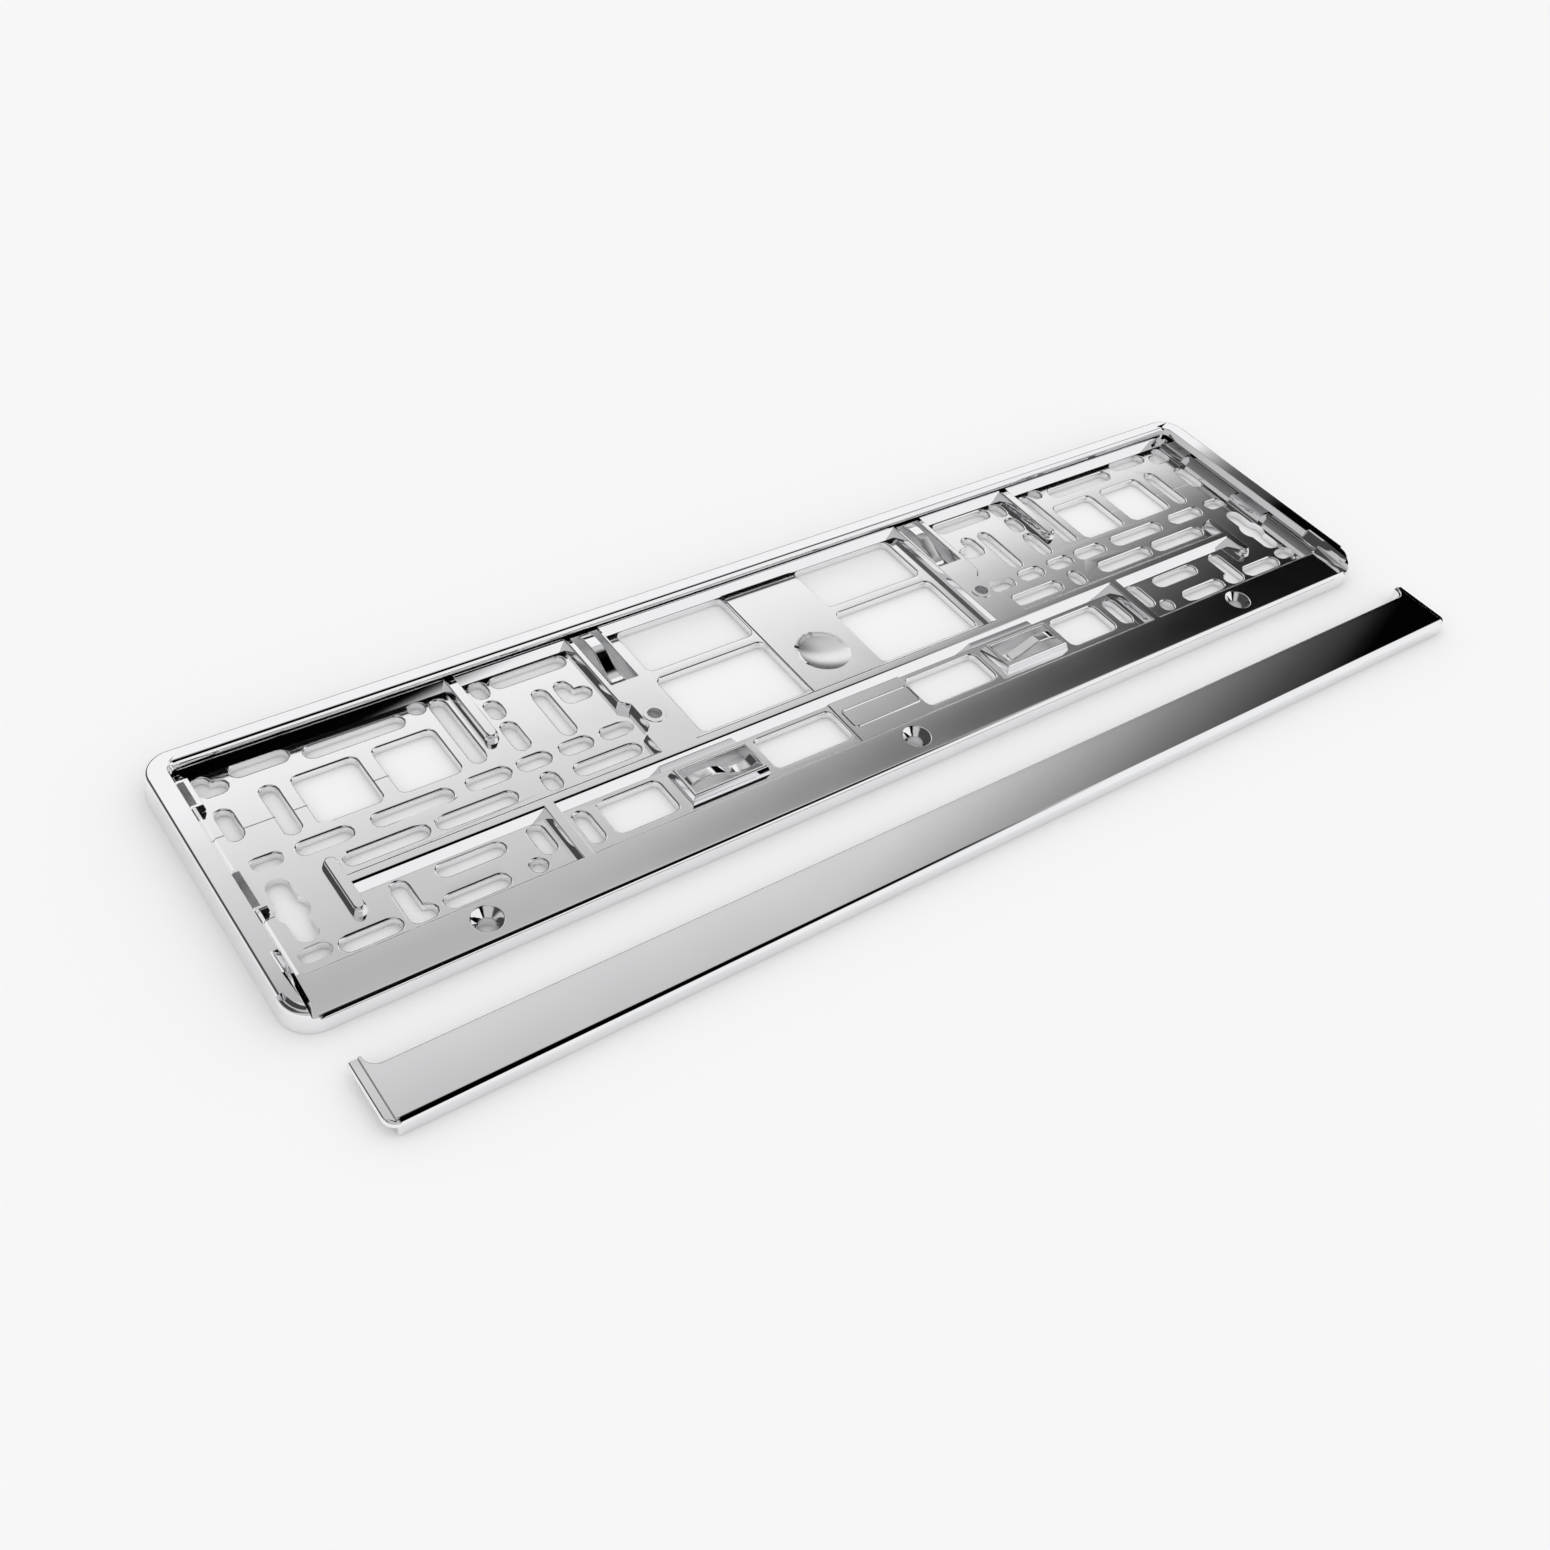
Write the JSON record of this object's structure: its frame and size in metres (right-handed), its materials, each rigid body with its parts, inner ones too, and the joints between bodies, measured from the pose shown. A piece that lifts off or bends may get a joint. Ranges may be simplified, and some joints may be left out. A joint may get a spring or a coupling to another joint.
{
  "type": "number plate holder",
  "caption": "Long shallow plated tray with a slotted floor, overhanging rim and spring tongues that holds a vehicle number plate, with a clip-on strip for its lower edge.",
  "frame": {"origin": "middle of the frame's flat back face", "axes": "+X along the holder, +Y from the strip side to the far rim, +Z out of the back face toward the plate"},
  "size_m": [0.5392, 0.1767, 0.0117],
  "materials": {
    "frame_chrome": "plated plastic, mirror rim, satin floor",
    "strip_chrome": "plated plastic, mirror"
  },
  "bodies": {
    "root": {"plate_frame": "frame_chrome", "retaining_strip": "strip_chrome"}
  },
  "joints": []
}
